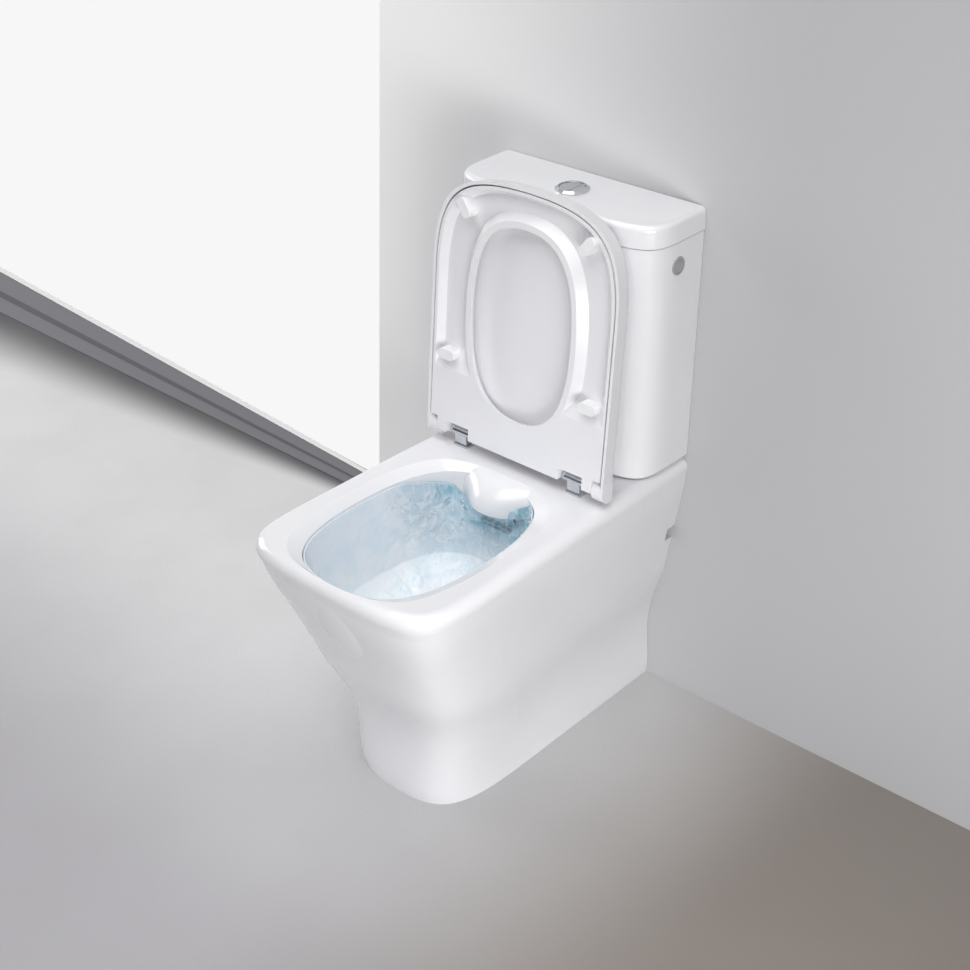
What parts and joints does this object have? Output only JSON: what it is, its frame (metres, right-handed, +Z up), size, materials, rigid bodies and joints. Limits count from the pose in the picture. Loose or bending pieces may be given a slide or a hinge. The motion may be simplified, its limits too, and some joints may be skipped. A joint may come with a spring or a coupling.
{
  "type": "back to wall toilet",
  "caption": "Close-coupled back to wall toilet with a skirted rimless pan, a tapered cistern with a split push button, and a soft-close wrap-over seat, stored open.",
  "frame": {"origin": "centre of the footprint on the floor, 0.2885 m in front of the wall plane", "axes": "+Z up, -Y the way the toilet faces, +Y into the wall, +X to the right seen from the front (camera side in the picture)"},
  "size_m": [0.3571, 0.5704, 0.8315],
  "materials": {
    "glazed_ceramic": "white, glossy glaze",
    "seat_plastic": "white, glossy, moulded",
    "seat_plastic_soft": "white, satin",
    "white_rubber": "satin",
    "black_rubber": "matte",
    "chrome": "polished",
    "steel": "plain stainless",
    "grey_plastic": "satin",
    "white_plastic": "satin",
    "blue_plastic": "satin",
    "black_plastic": "satin"
  },
  "bodies": {
    "suite": {"pan": "glazed_ceramic", "cistern": "glazed_ceramic", "cistern_pads": "white_rubber", "cistern_lid": "glazed_ceramic", "side_plug": "grey_plastic", "side_plug_washer": "black_rubber", "side_plug_nut": "grey_plastic", "coupling_gasket": "black_rubber", "coupling_seals": "black_rubber", "coupling_washers": "steel", "coupling_bolts": "steel", "coupling_nuts": "white_plastic", "valve_base": "white_plastic", "valve_base_seal": "black_rubber", "valve_backnut": "white_plastic", "valve_tower": "blue_plastic", "valve_head": "white_plastic", "button_bezel": "chrome", "button_nut": "white_plastic", "full_flush_spring": "steel", "half_flush_spring": "steel", "fill_valve_body": "white_plastic", "fill_valve_washer": "black_rubber", "fill_valve_backnut": "white_plastic", "fill_valve_cap": "blue_plastic", "hinge_posts": "chrome", "hinge_pins": "steel", "hinge_dampers": "black_plastic", "hinge_studs": "steel", "hinge_washers": "black_rubber", "hinge_nuts": "white_plastic"},
    "lid": {"seat_lid": "seat_plastic", "lid_buffers": "white_rubber"},
    "seat": {"seat_ring": "seat_plastic", "seat_buffers": "seat_plastic_soft"},
    "full_button": {"full_flush_button": "chrome", "full_flush_rod": "white_plastic"},
    "half_button": {"half_flush_button": "chrome", "half_flush_rod": "blue_plastic"},
    "lift": {"lift_tube": "white_plastic", "lift_seal": "black_rubber"},
    "float": {"float_cup": "white_plastic", "float_rod": "white_plastic"},
    "arm": {"float_arm": "blue_plastic"}
  },
  "joints": [
    {"name": "lid_hinge", "type": "hinge", "parent": "suite", "child": "lid", "pos_m": [0, 0.1075, 0.437], "axis": [-1, 0, 0], "range_deg": [-95.8, 0]},
    {"name": "seat_hinge", "type": "hinge", "parent": "lid", "child": "seat", "pos_m": [0, 0.1075, 0.437], "axis": [1, 0, 0], "range_deg": [0, 95.8]},
    {"name": "full_flush", "type": "slide", "parent": "suite", "child": "full_button", "axis": [0, 0, 1], "range_m": [-0.006, 0], "stiffness_N_per_m": 300, "springref_m": 0.003, "deforming": ["full_flush_spring"]},
    {"name": "half_flush", "type": "slide", "parent": "suite", "child": "half_button", "axis": [0, 0, 1], "range_m": [-0.006, 0], "stiffness_N_per_m": 300, "springref_m": 0.003, "deforming": ["half_flush_spring"]},
    {"name": "valve_lift", "type": "slide", "parent": "suite", "child": "lift", "axis": [0, 0, 1], "range_m": [0, 0.018]},
    {"name": "float_slide", "type": "slide", "parent": "suite", "child": "float", "axis": [0, 0, 1], "range_m": [0, 0.012]},
    {"name": "arm_pivot", "type": "hinge", "parent": "suite", "child": "arm", "pos_m": [-0.1397, 0.2285, 0.732], "axis": [0, 1, 0], "range_deg": [-18.2, 0]}
  ],
  "couplings": [
    {"joint": "valve_lift", "follows": "full_flush", "ratio": -3},
    {"joint": "arm_pivot", "follows": "float_slide", "rad_per_m": -26.3}
  ]
}
